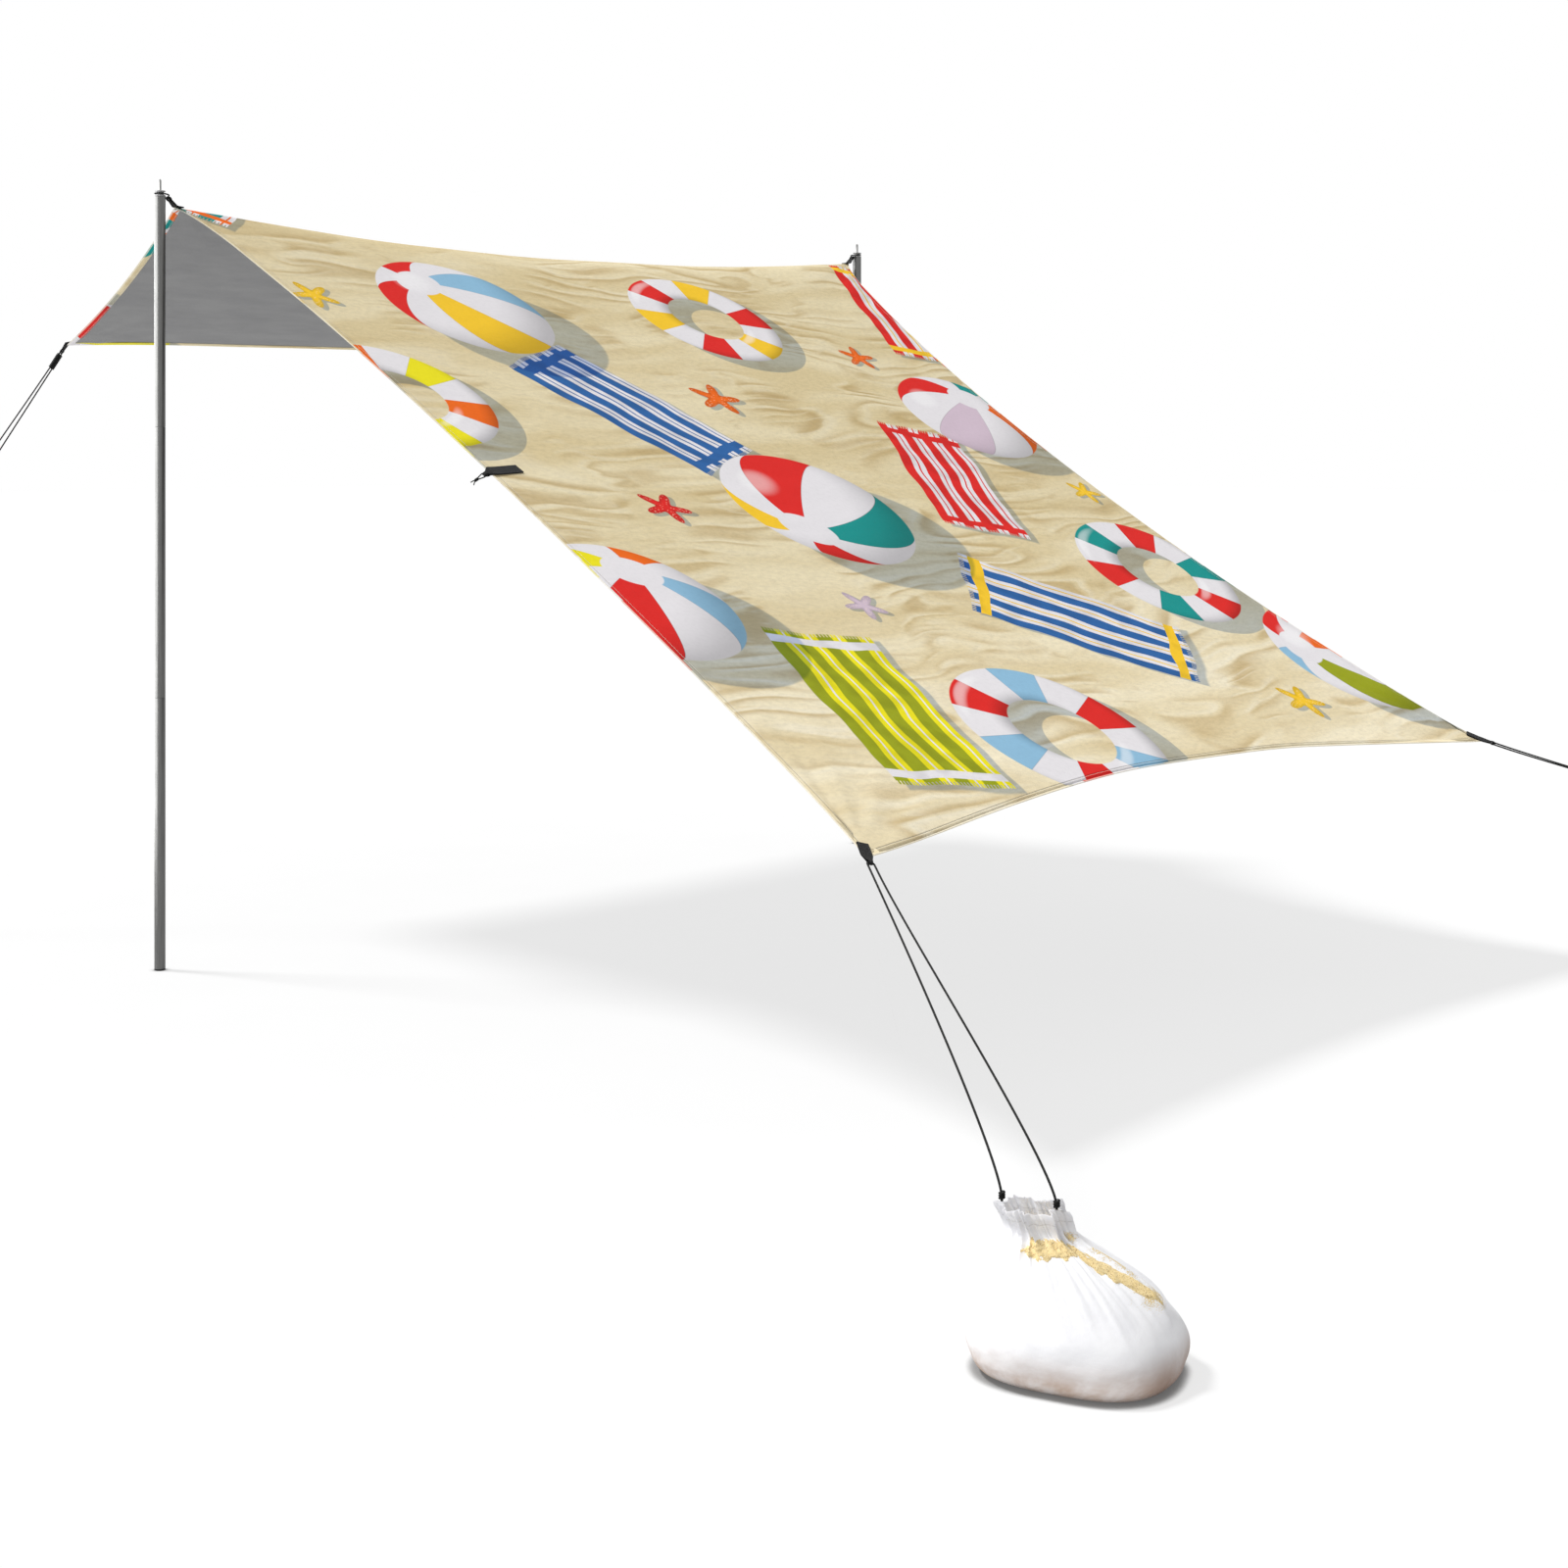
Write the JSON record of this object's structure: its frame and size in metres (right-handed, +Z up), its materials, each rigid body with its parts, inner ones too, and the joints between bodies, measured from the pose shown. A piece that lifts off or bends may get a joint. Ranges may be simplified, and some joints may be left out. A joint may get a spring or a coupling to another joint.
{
  "type": "beach tent",
  "caption": "Stretched beach sun shelter: one tensioned cloth canopy on sectioned poles, with its corners tied down to drawstring sandbags.",
  "frame": {"origin": "on the ground, at the middle of the box round the four sandbags", "axes": "+X along the ridge from the near pole to the far pole, the low front edge faces -Y, +Z up"},
  "size_m": [4.814, 4.8258, 2.03],
  "materials": {
    "canopy_cloth": "smooth printed stretch cloth, matt",
    "webbing": "woven black tape",
    "guy_cord": "braided dark cord",
    "bag_cloth": "thin white woven cloth",
    "sand": "loose dry sand",
    "pole_tube": "satin grey",
    "ferrule": "satin",
    "pole_cap": "satin grey",
    "spike": "bright",
    "foot_plug": "matt black",
    "shock_cord": "braided elastic cord"
  },
  "bodies": {
    "root": {"canopy": "canopy_cloth", "near_front_corner_tab": "webbing", "near_front_guy_cord": "guy_cord", "near_front_sand_bag": "bag_cloth", "near_front_sand_fill": "sand", "far_front_corner_tab": "webbing", "far_front_guy_cord": "guy_cord", "far_front_sand_bag": "bag_cloth", "far_front_sand_fill": "sand", "near_back_corner_tab": "webbing", "near_back_guy_cord": "guy_cord", "near_back_sand_bag": "bag_cloth", "near_back_sand_fill": "sand", "far_back_corner_tab": "webbing", "far_back_guy_cord": "guy_cord", "far_back_sand_bag": "bag_cloth", "far_back_sand_fill": "sand", "near_ridge_tab": "webbing", "far_ridge_tab": "webbing", "near_side_tab": "webbing"},
    "near_tie": {"near_spike_loop": "guy_cord"},
    "near_pole_top": {"near_pole_upper_tube": "pole_tube", "near_upper_ferrule": "ferrule", "near_pole_cap": "pole_cap", "near_pole_spike": "spike", "near_shock_cord": "shock_cord"},
    "near_pole_middle": {"near_pole_middle_tube": "pole_tube", "near_lower_ferrule": "ferrule"},
    "near_pole_bottom": {"near_pole_lower_tube": "pole_tube", "near_pole_foot": "foot_plug"},
    "far_tie": {"far_spike_loop": "guy_cord"},
    "far_pole_top": {"far_pole_upper_tube": "pole_tube", "far_upper_ferrule": "ferrule", "far_pole_cap": "pole_cap", "far_pole_spike": "spike", "far_shock_cord": "shock_cord"},
    "far_pole_middle": {"far_pole_middle_tube": "pole_tube", "far_lower_ferrule": "ferrule"},
    "far_pole_bottom": {"far_pole_lower_tube": "pole_tube", "far_pole_foot": "foot_plug"},
    "near_side_cord": {"near_side_loop": "guy_cord"}
  },
  "joints": [
    {"name": "near_pole_lean", "type": "hinge", "parent": "root", "child": "near_tie", "pos_m": [-1.59985, 0.99525, 1.98075], "axis": [0, 1, 0], "range_deg": [-4, 12]},
    {"name": "near_pole_tilt", "type": "hinge", "parent": "near_tie", "child": "near_pole_top", "pos_m": [-1.62485, 0.99525, 1.99275], "axis": [1, 0, 0], "range_deg": [-5, 5]},
    {"name": "near_middle_section_pull", "type": "slide", "parent": "near_pole_top", "child": "near_pole_middle", "axis": [0, 0, -1], "range_m": [0, 0.045], "stiffness_N_per_m": 180, "springref_m": -0.05},
    {"name": "near_lower_section_pull", "type": "slide", "parent": "near_pole_middle", "child": "near_pole_bottom", "axis": [0, 0, -1], "range_m": [0, 0.045], "stiffness_N_per_m": 180, "springref_m": -0.05},
    {"name": "far_pole_lean", "type": "hinge", "parent": "root", "child": "far_tie", "pos_m": [1.00615, 0.99525, 1.98075], "axis": [0, -1, 0], "range_deg": [-4, 12]},
    {"name": "far_pole_tilt", "type": "hinge", "parent": "far_tie", "child": "far_pole_top", "pos_m": [1.03115, 0.99525, 1.99275], "axis": [1, 0, 0], "range_deg": [-5, 5]},
    {"name": "far_middle_section_pull", "type": "slide", "parent": "far_pole_top", "child": "far_pole_middle", "axis": [0, 0, -1], "range_m": [0, 0.045], "stiffness_N_per_m": 180, "springref_m": -0.05},
    {"name": "far_lower_section_pull", "type": "slide", "parent": "far_pole_middle", "child": "far_pole_bottom", "axis": [0, 0, -1], "range_m": [0, 0.045], "stiffness_N_per_m": 180, "springref_m": -0.05},
    {"name": "near_side_loop_swing", "type": "hinge", "parent": "root", "child": "near_side_cord", "pos_m": [-1.40842, -0.064, 1.27974], "axis": [-0.1045, 0.8514, 0.5139], "range_deg": [-20, 25]}
  ]
}
